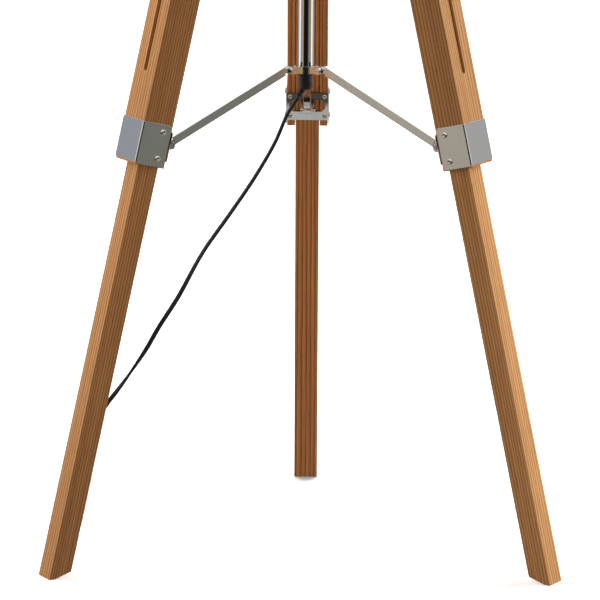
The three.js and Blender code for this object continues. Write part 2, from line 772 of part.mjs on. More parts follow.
function mainsPlug() {
  const x = hankMiddle;
  const half = plugWidth / 2;
  const shoulder = plugStart + plugShoulder;
  const plan = polygon([
    [x - half + plugTaper, plugStart], [x + half - plugTaper, plugStart], [x + half, shoulder],
    [x + half, plugStart + plugLength], [x - half, plugStart + plugLength], [x - half, shoulder],
  ]);
  const blades = [-1, 1].map((side) => box(
    [x + (side * bladeSpacing) / 2 - bladeThickness / 2, plugStart + plugLength - 1,
      tailHeight - bladeWidth / 2],
    [x + (side * bladeSpacing) / 2 + bladeThickness / 2, plugStart + plugLength + bladeLength,
      tailHeight + bladeWidth / 2],
  ));
  return join(drawn('Z', plan, GAP, GAP + plugThickness), ...blades);
}

add('cord_hank', hank(), RUBBER);
add('hank_tie', hankTie(), BLACK);
add('cord_tail', swept([
  [hankMiddle + tailSide, tailStart, hankBottom + cordRadius],
  [hankMiddle + tailSide * 0.85, tailStart + tailLength * 0.25, hankBottom + cordRadius],
  [hankMiddle + tailSide * 0.15, tailStart + tailLength * 0.75, tailHeight],
  [hankMiddle, tailEnd, tailHeight],
], cordRadius, 16), RUBBER);
add('mains_plug', mainsPlug(), RUBBER);

export default group;
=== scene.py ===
"""Finishes the tripod floor lamp on its frame: eased edges, screws, shade, mains lead and studio."""

import json
import logging
import math
from collections.abc import Sequence
from dataclasses import dataclass, field
from enum import Enum

import bmesh
import bpy
from mathutils import Matrix, Vector

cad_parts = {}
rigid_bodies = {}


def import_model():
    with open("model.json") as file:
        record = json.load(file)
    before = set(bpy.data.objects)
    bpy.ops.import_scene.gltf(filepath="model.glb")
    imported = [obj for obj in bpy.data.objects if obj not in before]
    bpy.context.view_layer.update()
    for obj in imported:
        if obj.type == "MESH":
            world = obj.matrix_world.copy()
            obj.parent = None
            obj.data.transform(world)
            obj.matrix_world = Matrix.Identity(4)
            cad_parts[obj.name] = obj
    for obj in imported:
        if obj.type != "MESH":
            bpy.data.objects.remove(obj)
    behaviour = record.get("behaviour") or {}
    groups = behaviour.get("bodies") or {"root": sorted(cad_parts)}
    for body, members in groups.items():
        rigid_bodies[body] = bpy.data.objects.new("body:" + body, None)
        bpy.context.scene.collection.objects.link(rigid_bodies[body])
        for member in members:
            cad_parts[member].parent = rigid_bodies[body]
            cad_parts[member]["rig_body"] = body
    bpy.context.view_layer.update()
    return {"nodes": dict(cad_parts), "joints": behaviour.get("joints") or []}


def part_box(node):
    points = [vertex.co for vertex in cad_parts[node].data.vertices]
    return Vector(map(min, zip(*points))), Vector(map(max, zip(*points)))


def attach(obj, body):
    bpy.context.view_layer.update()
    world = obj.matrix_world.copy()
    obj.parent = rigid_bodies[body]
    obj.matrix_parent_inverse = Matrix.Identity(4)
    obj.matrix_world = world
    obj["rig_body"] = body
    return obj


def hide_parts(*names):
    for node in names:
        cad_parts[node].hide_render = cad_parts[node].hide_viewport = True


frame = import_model()

LOG = logging.getLogger("tripod_floor_lamp")
MM = 0.001
SHARP_EDGE = math.radians(32.0)
LEG_TONES = {"back": (1.2, 1.0, 0.86), "left": (0.88, 0.85, 0.84), "right": (1.02, 1.04, 1.08)}

Triple = tuple[float, float, float]
Colour = tuple[float, float, float, float]
Node = bpy.types.Node
Socket = bpy.types.NodeSocket
Tree = bpy.types.NodeTree


class Slot(Enum):
    """The record's material slots."""

    WOOD = "leg_wood"
    STEEL = "plated_steel"
    ALUMINIUM = "plated_aluminium"
    BLACK = "black_plastic"
    RUBBER = "cord_rubber"
    FABRIC = "shade_fabric"
    OPAL = "opal_glass"
    BRASS = "bulb_brass"


# ---- The frame's own places -----------------------------------------------------------------------


def joint(name: str) -> dict:
    """Finds a joint of the frame.

    Args:
        name: The joint's name.

    Returns:
        The joint's entry in the record.
    """
    return next(entry for entry in frame["joints"] if entry["name"] == name)


def body_of(node: str) -> str:
    """Names the body that a CAD node rides on."""
    return frame["nodes"][node]["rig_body"]


@dataclass(frozen=True)
class LegFrame:
    """A leg's own axes: X out of its face, Y across it, Z up along it from the floor."""

    name: str
    length: float = 1030 * MM

    def matrix(self) -> Matrix:
        """Gives the matrix from the leg's axes to the row frame."""
        along = Vector(joint(f"leg_slide_{self.name}")["axis"]).normalized()
        out = Vector(joint(f"lock_turn_{self.name}")["axis"]).normalized()
        across = along.cross(out)
        foot = Vector(joint(f"leg_hinge_{self.name}")["pos_m"]) - along * self.length
        turn = Matrix((out, across, along)).transposed().to_4x4()
        return Matrix.Translation(foot) @ turn


# ---- Shader building ------------------------------------------------------------------------------


def place(
    tree: Tree, kind: str, sockets: dict | None = None, **settings: object
) -> Node:
    """Adds a node to a tree.

    Args:
        tree: The node tree.
        kind: The node's type name.
        sockets: Input name or index to a value, or to an output socket that is linked to it.
        **settings: The node's own properties.

    Returns:
        The new node.
    """
    node = tree.nodes.new(kind)
    for key, value in settings.items():
        setattr(node, key, value)
    for key, value in (sockets or {}).items():
        if isinstance(value, Socket):
            tree.links.new(value, node.inputs[key])
        else:
            node.inputs[key].default_value = value
    return node


def maths(tree: Tree, operation: str, *values: object) -> Socket:
    """Adds a Math node and gives its output."""
    node = place(tree, "ShaderNodeMath", dict(enumerate(values)), operation=operation)
    return node.outputs[0]


def ramp(tree: Tree, factor: Socket, stops: Sequence[tuple[float, object]]) -> Socket:
    """Adds a colour ramp.

    Args:
        tree: The node tree.
        factor: What the ramp reads.
        stops: Position of each stop, and its grey value or its red, green and blue.

    Returns:
        The ramp's colour output.
    """
    node = place(tree, "ShaderNodeValToRGB", {"Fac": factor})
    elements = node.color_ramp.elements
    while len(elements) < len(stops):
        elements.new(0.5)
    for element, (position, colour) in zip(elements, stops):
        element.position = position
        element.color = (*(colour if isinstance(colour, tuple) else (colour,) * 3), 1.0)
    return node.outputs["Color"]


def noise(tree: Tree, vector: Socket, stretch: Sequence[float], detail: float) -> Socket:
    """Adds a noise.

    Args:
        tree: The node tree.
        vector: The place that it is read at.
        stretch: Its scale on each axis, per metre.
        detail: How many finer layers it has.

    Returns:
        The noise's factor.
    """
    mapped = place(tree, "ShaderNodeMapping", {"Vector": vector, "Scale": tuple(stretch)})
    texture = place(
        tree, "ShaderNodeTexNoise",
        {"Vector": mapped.outputs[0], "Scale": 1.0, "Detail": detail, "Roughness": 0.55},
    )
    return texture.outputs["Fac"]


def blended(tree: Tree, factor: object, first: object, second: object) -> Socket:
    """Adds a mix of two colours and gives its colour."""
    node = place(tree, "ShaderNodeMix", {0: factor, 6: first, 7: second}, data_type="RGBA")
    return node.outputs[2]


def on_leg(tree: Tree, vector: Socket, leg: LegFrame) -> Socket:
    """Turns a place in the row frame into the same place on a leg's own axes.

    Args:
        tree: The node tree.
        vector: The place in the row frame.
        leg: The leg.

    Returns:
        The place on the leg.
    """
    matrix = leg.matrix()
    return place(
        tree, "ShaderNodeMapping",
        {"Vector": vector, "Location": tuple(matrix.translation),
         "Rotation": tuple(matrix.to_euler("XYZ"))},
        vector_type="TEXTURE",
    ).outputs[0]


@dataclass
class Effect:
    """A shader node group that several materials share, built once and on first use."""

    name: str
    inputs: dict[str, object]
    outputs: dict[str, str]
    built: Tree | None = field(default=None, init=False)

    def fill(self, tree: Tree, given: Node, result: Node) -> None:
        """Fills the group with its nodes.

        Args:
            tree: The group's node tree.
            given: The node that holds the group's inputs.
            result: The node that takes its outputs.
        """
        raise NotImplementedError

    def group(self) -> Tree:
        """Gives the node group, building it the first time."""
        if self.built is None:
            tree = bpy.data.node_groups.new(self.name, "ShaderNodeTree")
            for name, value in self.inputs.items():
                kind = "NodeSocketFloat"
                if isinstance(value, tuple):
                    kind = "NodeSocketColor" if len(value) == 4 else "NodeSocketVector"
                socket = tree.interface.new_socket(name, in_out="INPUT", socket_type=kind)
                socket.default_value = value
            for name, kind in self.outputs.items():
                tree.interface.new_socket(name, in_out="OUTPUT", socket_type=kind)
            given = tree.nodes.new("NodeGroupInput")
            result = tree.nodes.new("NodeGroupOutput")
            self.fill(tree, given, result)
            self.built = tree
        return self.built

    def placed(self, tree: Tree, sockets: dict) -> Node:
        """Places the group in a material with that material's own values."""
        return place(tree, "ShaderNodeGroup", sockets, node_tree=self.group())


class Grain(Effect):
    """Straight ash grain: growth lines, short dark pores and slow changes of tone along the board."""

    def fill(self, tree: Tree, given: Node, result: Node) -> None:
        """Fills the group; the vector runs along the board in Z."""
        vector = given.outputs["Vector"]
        slow = place(tree, "ShaderNodeMapping", {"Vector": vector, "Scale": (1.0, 1.0, 0.045)})
        rings = place(
            tree, "ShaderNodeTexWave",
            {
                "Vector": slow.outputs[0], "Scale": given.outputs["Ring Scale"],
                "Distortion": 3.2, "Detail": 2.0, "Detail Scale": 0.55, "Detail Roughness": 0.6,
            },
            wave_type="RINGS", rings_direction="Z", wave_profile="SAW",
        ).outputs["Fac"]
        late = ramp(tree, rings, [(0.0, 0.0), (0.35, 0.12), (0.8, 0.62), (0.93, 1.0), (1.0, 0.35)])
        pores = ramp(tree, noise(tree, vector, (1500, 1500, 42), 2.0), [(0.56, 0.0), (0.68, 1.0)])
        fibres = noise(tree, vector, (2600, 2600, 30), 2.0)
        tone = noise(tree, vector, (16, 16, 2.4), 2.0)
        streaks = ramp(tree, noise(tree, vector, (210, 210, 1.6), 3.0), [(0.35, 0.0), (0.7, 1.0)])
        depth = maths(tree, "MULTIPLY", late, given.outputs["Contrast"])
        colour = blended(tree, depth, given.outputs["Light"], given.outputs["Dark"])
        colour = blended(tree, maths(tree, "MULTIPLY", streaks, 0.34), colour, given.outputs["Dark"])
        flecks = maths(tree, "MULTIPLY", pores, maths(tree, "MULTIPLY_ADD", late, 0.5, 0.2))
        colour = blended(tree, flecks, colour, given.outputs["Pore"])
        value = maths(tree, "ADD", maths(tree, "MULTIPLY_ADD", tone, 0.5, 0.62),
                      maths(tree, "MULTIPLY", fibres, 0.26))
        adjusted = place(tree, "ShaderNodeHueSaturation", {"Value": value, "Color": colour})
        tree.links.new(adjusted.outputs[0], result.inputs["Color"])
        rough = maths(tree, "MULTIPLY_ADD", pores, 0.2, maths(tree, "MULTIPLY_ADD", fibres, 0.22, 0.4))
        tree.links.new(rough, result.inputs["Roughness"])
        height = maths(tree, "SUBTRACT", maths(tree, "MULTIPLY", fibres, 0.35),
                       maths(tree, "MULTIPLY_ADD", late, 0.35, pores))
        tree.links.new(height, result.inputs["Height"])


class Handling(Effect):
    """What hands and time leave on a hard surface: smudges, hairline scratches and settled dust."""

    def fill(self, tree: Tree, given: Node, result: Node) -> None:
        """Fills the group."""
        vector = given.outputs["Vector"]
        smudge = ramp(tree, noise(tree, vector, (42, 42, 42), 4.0), [(0.38, 0.0), (0.72, 1.0)])
        hairs = ramp(tree, noise(tree, vector, (260, 3200, 480), 1.0), [(0.66, 0.0), (0.7, 1.0)])
        other = ramp(tree, noise(tree, vector, (3000, 240, 520), 1.0), [(0.67, 0.0), (0.71, 1.0)])
        scratch = maths(tree, "MULTIPLY", maths(tree, "MAXIMUM", hairs, other),
                        given.outputs["Scratches"])
        up = place(tree, "ShaderNodeSeparateXYZ",
                   {0: place(tree, "ShaderNodeNewGeometry").outputs["Normal"]}).outputs[2]
        speck = ramp(tree, noise(tree, vector, (900, 900, 900), 2.0), [(0.5, 0.0), (0.75, 1.0)])
        dust = maths(tree, "MULTIPLY", maths(tree, "MAXIMUM", up, 0.0),
                     maths(tree, "MULTIPLY", speck, given.outputs["Dust"]))
        tree.links.new(smudge, result.inputs["Smudge"])
        tree.links.new(scratch, result.inputs["Scratch"])
        tree.links.new(dust, result.inputs["Dust"])


class Weave(Effect):
    """Plain linen weave on a UV map in metres, with slubs in both thread directions."""

    def fill(self, tree: Tree, given: Node, result: Node) -> None:
        """Fills the group."""
        vector = given.outputs["Vector"]
        threads = []
        for direction in ("X", "Y"):
            bands = place(
                tree, "ShaderNodeTexWave",
                {"Vector": vector, "Scale": given.outputs["Thread Scale"], "Distortion": 0.35,
                 "Detail": 1.0, "Detail Scale": 0.4},
                wave_type="BANDS", bands_direction=direction,
            )
            threads.append(bands.outputs["Fac"])
        over = maths(tree, "MULTIPLY", threads[0], threads[1])
        height = maths(tree, "ADD", maths(tree, "MAXIMUM", *threads), over)
        slubs = [
            ramp(tree, noise(tree, vector, stretch, 3.0), [(0.42, 0.0), (0.75, 1.0)])
            for stretch in ((22, 900, 1), (900, 26, 1))
        ]
        slub = maths(tree, "MAXIMUM", *slubs)
        colour = blended(tree, maths(tree, "MULTIPLY", slub, 0.55), given.outputs["Light"],
                         given.outputs["Dark"])
        colour = blended(tree, maths(tree, "MULTIPLY", over, 0.25), given.outputs["Dark"], colour)
        tree.links.new(colour, result.inputs["Color"])
        tree.links.new(height, result.inputs["Height"])


class Room(Effect):
    """What polished surfaces see: dark in front, white panels at the sides and grey behind."""

    def fill(self, tree: Tree, given: Node, result: Node) -> None:
        """Fills the group; the vector is a heading from the lamp, with the front at minus Y."""
        heading = place(tree, "ShaderNodeSeparateXYZ", {0: given.outputs["Vector"]}).outputs
        back = maths(tree, "MULTIPLY", heading[1], -1.0)
        turn = maths(tree, "ARCTAN2", heading[0], back)
        share = maths(tree, "MULTIPLY_ADD", turn, 0.5 / math.pi, 0.5)
        stops = [
            (-180, (0.36, 0.38, 0.42)), (-150, (0.33, 0.35, 0.39)), (-111, (0.30, 0.32, 0.36)),
            (-105, 1.15), (-86, 1.15), (-78, (0.46, 0.42, 0.36)), (-57, (0.42, 0.38, 0.32)),
            (-35, (0.34, 0.31, 0.26)), (-29, 0.012), (0, 0.004), (29, 0.012),
            (35, (0.15, 0.155, 0.13)), (57, (0.19, 0.195, 0.165)), (76, (0.23, 0.23, 0.2)),
            (86, 1.15), (105, 1.15), (111, (0.40, 0.40, 0.39)), (150, (0.38, 0.38, 0.38)),
            (180, (0.36, 0.38, 0.42)),
        ]
        seen = ramp(tree, share, [(angle / 360 + 0.5, colour) for angle, colour in stops])
        tree.links.new(seen, result.inputs["Color"])


GRAIN = Grain(
    "plank_grain",
    {"Vector": (0.0, 0.0, 0.0), "Ring Scale": 120.0, "Contrast": 0.6,
     "Light": (0.6, 0.35, 0.15, 1.0), "Dark": (0.3, 0.14, 0.05, 1.0), "Pore": (0.1, 0.04, 0.02, 1.0)},
    {"Color": "NodeSocketColor", "Roughness": "NodeSocketFloat", "Height": "NodeSocketFloat"},
)
HANDLING = Handling(
    "handling_marks",
    {"Vector": (0.0, 0.0, 0.0), "Scratches": 1.0, "Dust": 0.1},
    {"Smudge": "NodeSocketFloat", "Scratch": "NodeSocketFloat", "Dust": "NodeSocketFloat"},
)
WEAVE = Weave(
    "linen_weave",
    {"Vector": (0.0, 0.0, 0.0), "Thread Scale": 260.0,
     "Light": (0.8, 0.76, 0.68, 1.0), "Dark": (0.6, 0.55, 0.46, 1.0)},
    {"Color": "NodeSocketColor", "Height": "NodeSocketFloat"},
)
ROOM = Room("studio_room", {"Vector": (0.0, 0.0, 0.0)}, {"Color": "NodeSocketColor"})


@dataclass(frozen=True)
class Finish:
    """A surface finish; each kind makes its own material."""

    name: str

    def begin(self) -> tuple[bpy.types.Material, Tree, Node]:
        """Starts a material and gives it, its tree and its Principled shader."""
        material = bpy.data.materials.new(self.name)
        material.use_nodes = True
        tree = material.node_tree
        return material, tree, tree.nodes["Principled BSDF"]

    @staticmethod
    def place_on_piece(tree: Tree) -> Socket:
        """Gives the place on the piece, in metres."""
        return place(tree, "ShaderNodeTexCoord").outputs["Object"]

    @staticmethod
    def bumped(
        tree: Tree, shader: Node, height: Socket,
        distance: float, strength: float,
    ) -> None:
        """Feeds a height, as a bump, to a shader's normal.

        Args:
            tree: The node tree.
            shader: The shader.
            height: The height, as a share of the distance.
            distance: How deep the full height is, in metres.
            strength: How strongly it shows.
        """
        bump = place(tree, "ShaderNodeBump",
                     {"Height": height, "Distance": distance, "Strength": strength})
        tree.links.new(bump.outputs[0], shader.inputs["Normal"])


@dataclass(frozen=True)
class OiledWood(Finish):
    """Oiled ash, with the grain along one board."""

    board: LegFrame
    pith: Triple
    light: Colour
    dark: Colour
    rings: float
    pore: Colour = (0.12, 0.045, 0.018, 1.0)
    contrast: float = 0.88
    lean: Triple = (math.radians(0.7), math.radians(-0.5), 0.0)

    def material(self) -> bpy.types.Material:
        """Makes the material."""
        material, tree, shader = self.begin()
        local = on_leg(tree, self.place_on_piece(tree), self.board)
        laid = place(tree, "ShaderNodeMapping",
                     {"Vector": local, "Location": self.pith, "Rotation": self.lean})
        grain = GRAIN.placed(tree, {
            "Vector": laid.outputs[0], "Ring Scale": self.rings, "Contrast": self.contrast,
            "Light": self.light, "Dark": self.dark, "Pore": self.pore,
        })
        tree.links.new(grain.outputs["Color"], shader.inputs["Base Color"])
        tree.links.new(grain.outputs["Roughness"], shader.inputs["Roughness"])
        shader.inputs["Specular IOR Level"].default_value = 0.2
        self.bumped(tree, shader, grain.outputs["Height"], 0.12 * MM, 0.6)
        return material


@dataclass(frozen=True)
class PlatedMetal(Finish):
    """Bright plating with smudges and hairline scratches, and on a leg's plate a painted reflection
    that darkens it above a height.
    """

    colour: Colour = (0.86, 0.86, 0.85, 1.0)
    dull: Colour = (0.7, 0.695, 0.68, 1.0)
    smooth: float = 0.15
    smudged: float = 0.2
    scratches: float = 0.6
    # Painted reflection: above a height on the given leg the plate is painted with the dark colour
    # below, as if it mirrored dark surroundings, and stays bright beneath as if it mirrored the floor.
    painted_reflection_leg: LegFrame | None = None
    tint: Colour = (0.13, 0.12, 0.095, 1.0)
    painted_reflection_from: float = 0.45
    painted_reflection_to: float = 0.457

    def paint_reflection(
        self, tree: Tree, vector: Socket, colour: Socket
    ) -> Socket:
        """Darkens a plate above a height on its leg: a painted reflection, dark above as if mirroring
        dark surroundings and bright below as if mirroring the floor.

        Args:
            tree: The node tree.
            vector: The place on the piece.
            colour: The plating's colour.

        Returns:
            The colour with the painted reflection.
        """
        local = on_leg(tree, vector, self.painted_reflection_leg)
        along = place(tree, "ShaderNodeSeparateXYZ", {0: local}).outputs[2]
        share = place(tree, "ShaderNodeMapRange", {
            "Value": along, "From Min": self.painted_reflection_from, "From Max": self.painted_reflection_to,
        }).outputs[0]
        return blended(tree, share, colour, self.tint)

    def material(self) -> bpy.types.Material:
        """Makes the material."""
        material, tree, shader = self.begin()
        vector = self.place_on_piece(tree)
        marks = HANDLING.placed(tree, {
            "Vector": vector, "Scratches": self.scratches, "Dust": 0.02,
        })
        colour = blended(tree, maths(tree, "MULTIPLY", marks.outputs["Smudge"], 0.25),
                         self.colour, self.dull)
        # Painted reflection: the plate painted dark above a height on its leg.
        if self.painted_reflection_leg:
            colour = self.paint_reflection(tree, vector, colour)
        tree.links.new(colour, shader.inputs["Base Color"])
        spread = maths(tree, "MULTIPLY_ADD", marks.outputs["Smudge"], self.smudged - self.smooth,
                       self.smooth)
        rough = maths(tree, "ADD", spread, maths(tree, "MULTIPLY", marks.outputs["Scratch"], 0.05))
        tree.links.new(maths(tree, "ADD", rough, marks.outputs["Dust"]), shader.inputs["Roughness"])
        shader.inputs["Metallic"].default_value = 1.0
        self.bumped(tree, shader, marks.outputs["Scratch"], 0.003 * MM, 0.1)
        return material


@dataclass(frozen=True)
class MouldedPlastic(Finish):
    """Moulded black plastic or rubber, finely textured."""

    colour: Colour = (0.016, 0.016, 0.018, 1.0)
    worn: Colour = (0.045, 0.045, 0.048, 1.0)
    rough: float = 0.34
    texture: float = 2200.0

    def material(self) -> bpy.types.Material:
        """Makes the material."""
        material, tree, shader = self.begin()
        vector = self.place_on_piece(tree)
        marks = HANDLING.placed(tree, {"Vector": vector, "Scratches": 0.5, "Dust": 0.25})
        mask = maths(tree, "MAXIMUM", maths(tree, "MULTIPLY", marks.outputs["Smudge"], 0.35),
                     marks.outputs["Dust"])
        colour = blended(tree, mask, self.colour, self.worn)
        tree.links.new(colour, shader.inputs["Base Color"])
        rough = maths(tree, "MULTIPLY_ADD", marks.outputs["Smudge"], 0.16, self.rough)
        tree.links.new(rough, shader.inputs["Roughness"])
        shader.inputs["Specular IOR Level"].default_value = 0.28
        pebble = noise(tree, vector, (self.texture,) * 3, 2.0)
        self.bumped(tree, shader, pebble, 0.03 * MM, 0.5)
        return material


@dataclass(frozen=True)
class Linen(Finish):
    """The shade's linen, laminated on a stiff liner."""

    thread: float = 260.0

    def material(self) -> bpy.types.Material:
        """Makes the material."""
        material, tree, shader = self.begin()
        flat = place(tree, "ShaderNodeUVMap", uv_map="cloth").outputs[0]
        cloth = WEAVE.placed(tree, {
            "Vector": flat, "Thread Scale": self.thread,
            "Light": (0.84, 0.80, 0.72, 1.0), "Dark": (0.62, 0.57, 0.48, 1.0),
        })
        tree.links.new(cloth.outputs["Color"], shader.inputs["Base Color"])
        patches = maths(tree, "MULTIPLY_ADD", noise(tree, flat, (30, 30, 30), 2.0), 0.12, 0.8)
        tree.links.new(patches, shader.inputs["Roughness"])
        shader.inputs["Sheen Weight"].default_value = 0.25
        self.bumped(tree, shader, cloth.outputs["Height"], 0.25 * MM, 0.7)
        return material


@dataclass(frozen=True)
class OpalGlass(Finish):
    """A bulb's opal coat."""

    def material(self) -> bpy.types.Material:
        """Makes the material."""
        material, tree, shader = self.begin()
        vector = self.place_on_piece(tree)
        cloud = noise(tree, vector, (35, 35, 35), 2.0)
        colour = blended(tree, cloud, (0.86, 0.86, 0.83, 1.0), (0.93, 0.92, 0.88, 1.0))
        tree.links.new(colour, shader.inputs["Base Color"])
        rough = maths(tree, "MULTIPLY_ADD", cloud, 0.12, 0.16)
        tree.links.new(rough, shader.inputs["Roughness"])
        shader.inputs["Subsurface Weight"].default_value = 0.2
        self.bumped(tree, shader, noise(tree, vector, (600, 600, 600), 2.0), 0.01 * MM, 0.4)
        return material


class Finishes:
    """Every finish of the lamp, each made once."""

    def __init__(self) -> None:
        """Makes the materials that whole families of pieces share."""
        self.steel = PlatedMetal("plated_steel", smooth=0.16, smudged=0.26).material()
        self.sheet = PlatedMetal("satin_plated_sheet").material()
        self.tube = PlatedMetal("polished_tube", smooth=0.035, smudged=0.07, scratches=0.3).material()
        self.screws = PlatedMetal(
            "nickel_screws", colour=(0.62, 0.56, 0.47, 1.0), dull=(0.34, 0.29, 0.22, 1.0),
            smooth=0.2, smudged=0.32,
        ).material()
        self.casting = PlatedMetal("polished_casting", smooth=0.14, smudged=0.26).material()
        self.brass = PlatedMetal(
            "spun_brass", colour=(0.78, 0.6, 0.3, 1.0), dull=(0.6, 0.45, 0.22, 1.0), smooth=0.2,
            smudged=0.34,
        ).material()
        self.black = MouldedPlastic("satin_black_plastic").material()
        self.rubber = MouldedPlastic(
            "lead_jacket", colour=(0.008, 0.008, 0.009, 1.0), worn=(0.02, 0.02, 0.021, 1.0),
            rough=0.36, texture=1500.0,
        ).material()
        self.linen = Linen("shade_linen").material()
        self.opal = OpalGlass("bulb_opal").material()

    @staticmethod
    def board(
        leg: LegFrame, part: str, seed: int, tint: Triple
    ) -> bpy.types.Material:
        """Makes the wood of one board.

        Args:
            leg: The leg it belongs to.
            part: Which board of the leg.
            seed: Picks how the board was sawn from its tree.
            tint: The leg's own tone, as red, green and blue factors.

        Returns:
            The board's material.
        """
        pith = (0.082 + 0.006 * (seed % 3), -0.048 - 0.005 * (seed % 4), 0.31 * seed)
        tone = 1.0 + 0.04 * ((seed * 7) % 5 - 2) / 2
        light = tuple(share * factor * tone for share, factor in zip((0.56, 0.288, 0.102), tint))
        dark = tuple(share * factor * tone for share, factor in zip((0.13, 0.047, 0.014), tint))
        return OiledWood(
            f"ash_{part}_{leg.name}", board=leg, pith=pith, light=(*light, 1.0), dark=(*dark, 1.0),
            rings=112.0 + 6 * (seed % 4),
        ).material()


# ---- Piece building -------------------------------------------------------------------------------


def finished(
    name: str, mesh: bmesh.types.BMesh, material: bpy.types.Material, body: str,
    recalculate: bool = True,
) -> bpy.types.Object:
    """Turns a bmesh into a piece that rides on a body.

    Args:
        name: The piece's name.
        mesh: Its shape, in the row frame in metres; it is freed.
        material: Its material.
        body: The body that it rides on.
        recalculate: Whether to turn the faces outwards.

    Returns:
        The piece.
    """
    if recalculate:
        bmesh.ops.recalc_face_normals(mesh, faces=mesh.faces)
    data = bpy.data.meshes.new(name)
    for face in mesh.faces:
        face.smooth = True
    mesh.to_mesh(data)
    mesh.free()
    data.materials.append(material)
    piece = bpy.data.objects.new(name, data)
    bpy.context.scene.collection.objects.link(piece)
    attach(piece, body)
    return piece


def rounded(mesh: bmesh.types.BMesh, width: float, segments: int) -> None:
    """Rounds every edge of a mesh over."""
    bmesh.ops.bevel(
        mesh, geom=mesh.edges[:], offset=width, offset_type="OFFSET", segments=segments,
        profile=0.5, affect="EDGES", material=-1, clamp_overlap=True,
    )


def ease(piece: bpy.types.Object, width: float, segments: int) -> None:
    """Rounds a piece's sharp edges over with modifiers.

    Args:
        piece: The piece.
        width: The rounding's width, in metres.
        segments: How many faces it takes.
    """
    bevel = piece.modifiers.new("eased_edges", "BEVEL")
    bevel.width = width
    bevel.segments = segments
    bevel.limit_method = "ANGLE"
    bevel.angle_limit = SHARP_EDGE
    bevel.use_clamp_overlap = True
    weighted = piece.modifiers.new("flat_faces_stay_flat", "WEIGHTED_NORMAL")
    weighted.mode = "FACE_AREA"
    weighted.weight = 100


def carried(
    node: str, material: bpy.types.Material, width: float, segments: int = 2
) -> bpy.types.Object:
    """Makes a finished copy of a CAD node, with its edges eased, in the node's place.

    Args:
        node: The CAD node.
        material: Its material.
        width: How wide its edges are rounded, in metres.
        segments: How many faces each rounding takes.

    Returns:
        The piece.
    """
    mesh = bmesh.new()
    mesh.from_mesh(frame["nodes"][node].data)
    bmesh.ops.remove_doubles(mesh, verts=mesh.verts, dist=2e-6)
    bmesh.ops.dissolve_limit(
        mesh, angle_limit=math.radians(0.6), verts=mesh.verts, edges=mesh.edges
    )
    piece = finished(f"{node}_fine", mesh, material, body_of(node), recalculate=False)
    ease(piece, width, segments)
    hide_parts(node)
    LOG.info("%s: edges eased %.2f mm", piece.name, width / MM)
    return piece


def turned(
    profile: Sequence[tuple[float, float]], steps: int, where: Matrix
) -> bmesh.types.BMesh:
    """Spins a profile about Z and moves it into place.

    Args:
        profile: The radius and height of each point, in metres.
        steps: How many faces go round.
        where: The matrix from the profile's axes to the row frame.

    Returns:
        The turned mesh.
    """
    mesh = bmesh.new()
    points = [mesh.verts.new((radius, 0.0, height)) for radius, height in profile]
    edges = [mesh.edges.new(pair) for pair in zip(points, points[1:])]
    bmesh.ops.spin(
        mesh, geom=points + edges, cent=(0, 0, 0), axis=(0, 0, 1), angle=2 * math.pi, steps=steps,
        use_merge=True,
    )
    bmesh.ops.remove_doubles(mesh, verts=mesh.verts, dist=1e-6)
    bmesh.ops.transform(mesh, matrix=where, verts=mesh.verts)
    return mesh


def facing(origin: Vector, direction: Vector) -> Matrix:
    """Gives the matrix that moves a shape on the Z axis to a point, facing a direction."""
    return Matrix.Translation(origin) @ direction.to_track_quat("Z", "Y").to_matrix().to_4x4()


@dataclass(frozen=True)
class ButtonScrew:
    """A button-head screw with a hexagonal socket."""

    radius: float = 3.2 * MM
    height: float = 1.4 * MM
    socket: float = 1.5 * MM
    depth: float = 1.2 * MM

    def added(self, mesh: bmesh.types.BMesh, where: Matrix) -> None:
        """Adds the screw's head to a mesh, standing on the XY plane of a matrix.

        Args:
            mesh: The mesh that it is added to.
            where: The matrix from the screw's axes to the row frame.
        """
        before = set(mesh.verts)
        dome = [(1.0, 0.0), (0.98, 0.35), (0.86, 0.7), (0.68, 0.92), (0.52, 1.0)]
        circles = [(24, self.radius * reach, self.height * lift) for reach, lift in dome]
        circles.append((6, self.socket, self.height * 0.96))
        circles.append((6, self.socket, self.height - self.depth))
        rings = []
        for sides, radius, lift in circles:
            circle = bmesh.ops.create_circle(
                mesh, cap_ends=False, segments=sides, radius=radius,
                matrix=Matrix.Translation((0, 0, lift)),
            )["verts"]
            rings.append(list({edge for vert in circle for edge in vert.link_edges}))
        for lower, upper in zip(rings, rings[1:]):
            bmesh.ops.bridge_loops(mesh, edges=lower + upper)
        bmesh.ops.edgeloop_fill(mesh, edges=rings[-1])
        bmesh.ops.edgeloop_fill(mesh, edges=rings[0])
        new = [vert for vert in mesh.verts if vert not in before]
        bmesh.ops.transform(mesh, matrix=where, verts=new)


